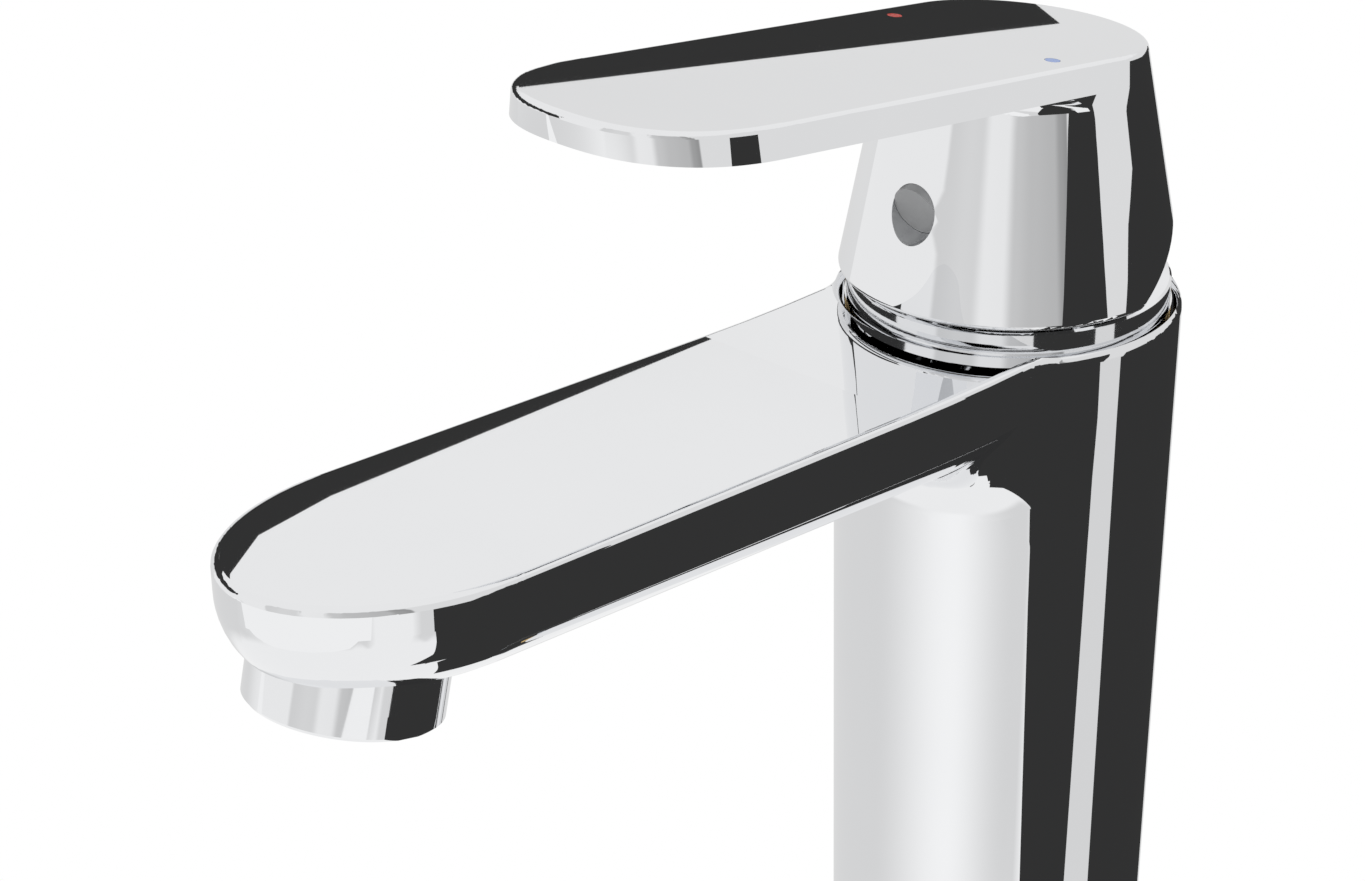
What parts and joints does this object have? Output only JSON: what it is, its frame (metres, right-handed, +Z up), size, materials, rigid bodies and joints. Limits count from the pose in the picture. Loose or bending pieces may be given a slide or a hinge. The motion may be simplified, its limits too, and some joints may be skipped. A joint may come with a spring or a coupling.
{
  "type": "basin mixer tap",
  "caption": "Single-lever basin mixer tap: round column, long flat-topped spout with a tilted aerator, conical cap and a paddle lever that lifts for flow and swings for temperature.",
  "frame": {"origin": "centre of the column's base, on the deck's surface, over the tap hole", "axes": "+Z up out of the deck, -Y along the spout towards the user, +X on the cold side"},
  "size_m": [0.048, 0.159, 0.223],
  "materials": {
    "body_chrome": "mirror polished chrome plate",
    "handle_chrome": "mirror polished chrome plate",
    "collar_chrome": "polished chrome plate",
    "aerator_chrome": "polished chrome plate",
    "seal_rubber": "black rubber",
    "gasket_rubber": "dark grey rubber",
    "zinc_steel": "zinc plated",
    "nut_brass": "machined brass",
    "stem_brass": "machined brass",
    "pin_steel": "stainless steel",
    "cartridge_plastic": "moulded, off-white",
    "guide_plastic": "moulded, dark grey",
    "carrier_plastic": "moulded, grey",
    "limiter_plastic": "moulded, red",
    "disc_ceramic": "lapped ceramic",
    "plug_plastic": "moulded, mid grey",
    "index_red": "red insert",
    "index_blue": "blue insert",
    "screen_plastic": "moulded, light grey",
    "insert_plastic": "moulded, light grey"
  },
  "bodies": {
    "fixed": {"body": "body_chrome", "inlet_manifold": "nut_brass", "base_seal": "seal_rubber", "fixing_stud": "zinc_steel", "deck_gasket": "gasket_rubber", "horseshoe_washer": "zinc_steel", "stud_nut": "nut_brass", "cartridge_base": "cartridge_plastic", "port_seal_hot": "seal_rubber", "port_seal_cold": "seal_rubber", "port_seal_outlet": "seal_rubber", "fixed_disc": "disc_ceramic", "cartridge_housing": "cartridge_plastic", "limiter_ring": "limiter_plastic", "retaining_nut": "nut_brass", "collar_sleeve": "collar_chrome", "aerator_housing": "aerator_chrome", "aerator_screen": "screen_plastic", "aerator_insert": "insert_plastic", "aerator_washer": "seal_rubber"},
    "swivel": {"swivel_guide": "guide_plastic", "pivot_pin": "pin_steel"},
    "lever": {"lever_stem": "stem_brass", "handle": "handle_chrome", "handle_screw": "pin_steel", "screw_plug": "plug_plastic", "index_hot": "index_red", "index_cold": "index_blue"},
    "valve": {"moving_disc": "disc_ceramic", "disc_carrier": "carrier_plastic"}
  },
  "joints": [
    {"name": "temperature_swivel", "type": "hinge", "parent": "fixed", "child": "swivel", "pos_m": [0, 0, 0.132], "axis": [0, 0, 1], "range_deg": [-45, 45]},
    {"name": "flow_lift", "type": "hinge", "parent": "swivel", "child": "lever", "pos_m": [0, 0, 0.137], "axis": [-1, 0, 0], "range_deg": [0, 25]},
    {"name": "disc_slide", "type": "slide", "parent": "swivel", "child": "valve", "axis": [0, -1, 0], "range_m": [0, 0.0068]}
  ],
  "couplings": [
    {"joint": "disc_slide", "follows": "flow_lift", "m_per_rad": 0.015497}
  ]
}
